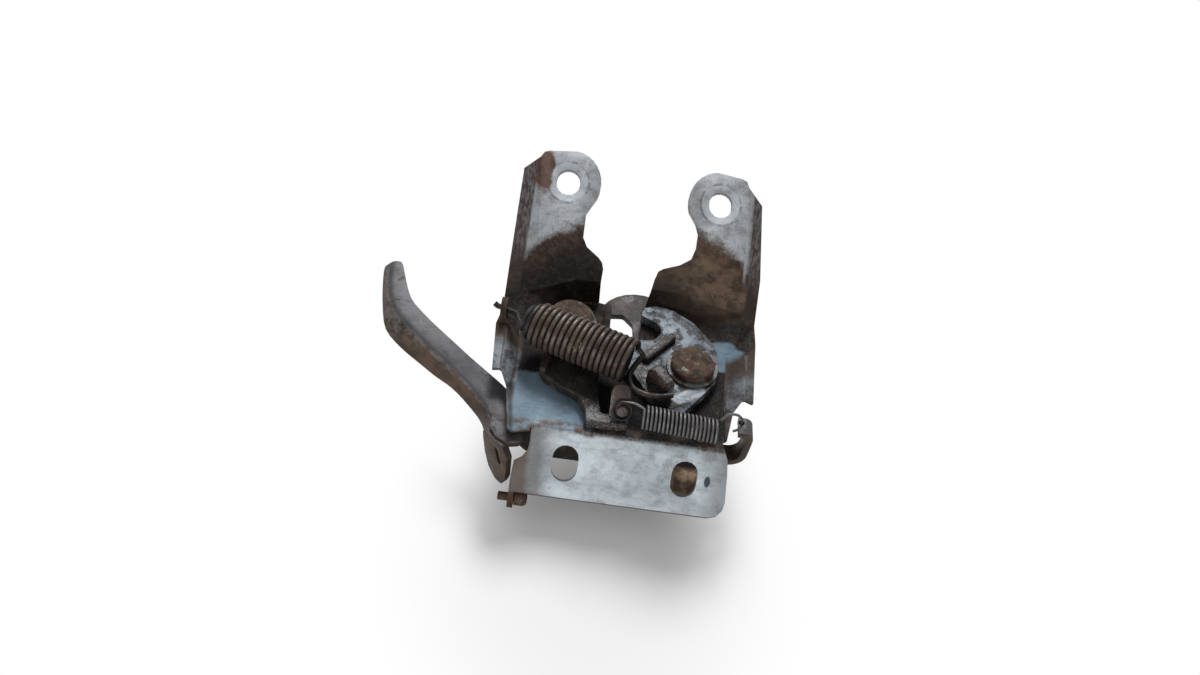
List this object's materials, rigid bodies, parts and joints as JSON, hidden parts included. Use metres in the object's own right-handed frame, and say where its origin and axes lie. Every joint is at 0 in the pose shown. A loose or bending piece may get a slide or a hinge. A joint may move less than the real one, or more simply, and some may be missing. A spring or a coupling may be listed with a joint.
{
  "type": "bonnet latch",
  "caption": "Rotary-claw bonnet latch on a folded sheet base with two bolt-on ears and a slotted front flange, with a sprung claw, pawl and safety lever.",
  "frame": {"origin": "centre of the front flange's outer face between its two fixing slots, at the height of the slots", "axes": "+X across the latch towards the claw's side, +Y up the latch towards the ears, +Z out of the floor of the base towards the springs"},
  "size_m": [0.1418, 0.1271, 0.0629],
  "materials": {
    "zinc_plate": "dull zinc plating, greasy and rust-stained",
    "claw_zinc": "pale zinc plating with grease",
    "greased_steel": "steel under dark old grease",
    "rusty_rivet": "rusty, worn bright at the rim",
    "washer_zinc": "worn zinc plating",
    "rusty_spring": "rusty spring wire",
    "spring_steel": "oily bright spring wire",
    "lever_steel": "zinc plating gone brown with rust and dirt"
  },
  "bodies": {
    "base": {"base_plate": "zinc_plate", "claw_rivet": "rusty_rivet", "pawl_rivet": "rusty_rivet", "lever_rivet": "rusty_rivet", "claw_washer": "washer_zinc", "pawl_washer": "washer_zinc", "tab_pin": "rusty_rivet", "lift_spring": "rusty_spring", "return_spring": "spring_steel"},
    "claw": {"claw": "claw_zinc"},
    "pawl": {"pawl": "greased_steel"},
    "safety_lever": {"safety_lever": "lever_steel"}
  },
  "joints": [
    {"name": "claw_pivot", "type": "hinge", "parent": "base", "child": "claw", "pos_m": [0.02, 0.03828, 0.0127], "axis": [0, 0, 1], "range_deg": [0, 35], "stiffness_Nm_per_rad": 0.2, "springref_deg": -34.38, "deforming": ["lift_spring"]},
    {"name": "pawl_pivot", "type": "hinge", "parent": "base", "child": "pawl", "pos_m": [-0.0254, 0.05378, 0.0127], "axis": [0, 0, 1], "range_deg": [-10, 6], "stiffness_Nm_per_rad": 0.3, "deforming": ["return_spring"]},
    {"name": "lever_pivot", "type": "hinge", "parent": "base", "child": "safety_lever", "pos_m": [0.0243, 0.01228, 0.0063], "axis": [0, 0, 1], "range_deg": [-11, 0], "stiffness_Nm_per_rad": 0.3, "springref_deg": 22.92, "deforming": ["return_spring"]}
  ]
}
